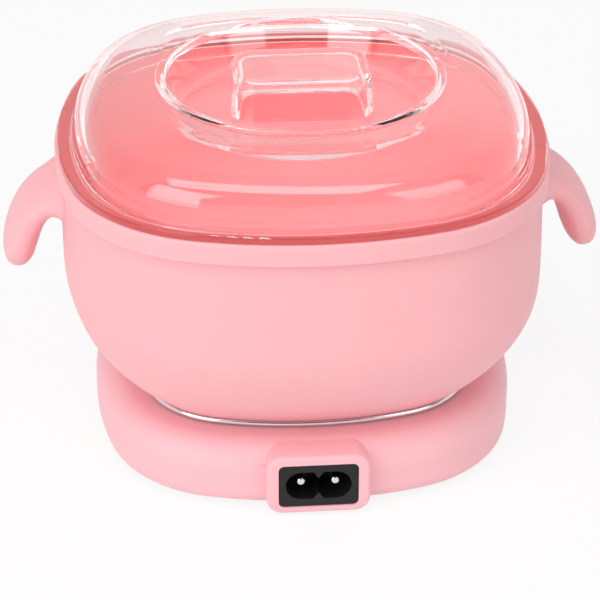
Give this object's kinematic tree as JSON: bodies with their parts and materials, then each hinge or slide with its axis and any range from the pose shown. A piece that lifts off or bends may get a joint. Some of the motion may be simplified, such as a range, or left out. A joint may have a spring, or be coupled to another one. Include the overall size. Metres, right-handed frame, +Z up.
{
  "type": "wax warmer",
  "caption": "Electric wax warmer: soft square pot with down-curved ears and a clear domed lid, standing on a low heating base with a dial and a mains inlet.",
  "frame": {"origin": "on the floor under the middle of the pot", "axes": "+Z up, +X through the right ear seen from the mains inlet's side, -Y towards the mains inlet, +Y towards the dial"},
  "size_m": [0.1554, 0.1252, 0.0975],
  "materials": {
    "clear_lid": "clear, polished",
    "pink_silicone": "soft matte",
    "polished_plate": "polished edge",
    "pink_housing": "satin",
    "foot_rubber": "matte",
    "zinc_steel": "zinc plated",
    "heater_aluminium": "machined",
    "seal_rubber": "matte",
    "mica": "matte",
    "fibre_pad": "fibrous",
    "cutoff_case": "satin",
    "black_plastic": "moulded",
    "contact_metal": "plated",
    "board_laminate": "satin",
    "terminal_green": "moulded",
    "capacitor_yellow": "moulded",
    "plug_white": "moulded",
    "board_part_black": "moulded",
    "dial_white": "satin",
    "lamp_lens": "clear",
    "lamp_red": "clear tint",
    "wire_brown": "satin",
    "wire_blue": "satin",
    "wire_white": "satin"
  },
  "bodies": {
    "base": {"base_shell": "pink_housing", "bottom_cover": "pink_housing", "feet": "foot_rubber", "cover_screws": "zinc_steel", "heating_plate": "heater_aluminium", "plate_gasket": "seal_rubber", "mica_heater": "mica", "insulation_pad": "fibre_pad", "clamp_plate": "zinc_steel", "stack_screws": "zinc_steel", "temperature_sensor": "heater_aluminium", "sensor_bracket": "zinc_steel", "thermal_cutoff": "cutoff_case", "cutoff_clip": "zinc_steel", "inlet_body": "black_plastic", "inlet_pins": "contact_metal", "control_board": "board_laminate", "board_screws": "zinc_steel", "terminal_block": "terminal_green", "filter_capacitor": "capacitor_yellow", "drive_triac": "black_plastic", "sensor_plug": "plug_white", "potentiometer": "board_part_black", "indicator_lens": "lamp_lens", "indicator_led": "lamp_red", "live_wire": "wire_brown", "neutral_wire": "wire_blue", "heater_wire": "wire_white", "sensor_wires": "wire_white"},
    "pot": {"silicone_pot": "pink_silicone", "pot_base_plate": "polished_plate"},
    "lid": {"lid": "clear_lid"},
    "dial": {"control_dial": "dial_white", "dial_shaft": "zinc_steel"}
  },
  "joints": [
    {"name": "pot_lift", "type": "slide", "parent": "base", "child": "pot", "axis": [0, 0, 1], "range_m": [0, 0.08]},
    {"name": "lid_lift", "type": "slide", "parent": "pot", "child": "lid", "axis": [0, 0, 1], "range_m": [0, 0.06]},
    {"name": "dial_turn", "type": "hinge", "parent": "base", "child": "dial", "pos_m": [0, 0.0585, 0.009], "axis": [0, -1, 0], "range_deg": [0, 270]}
  ]
}
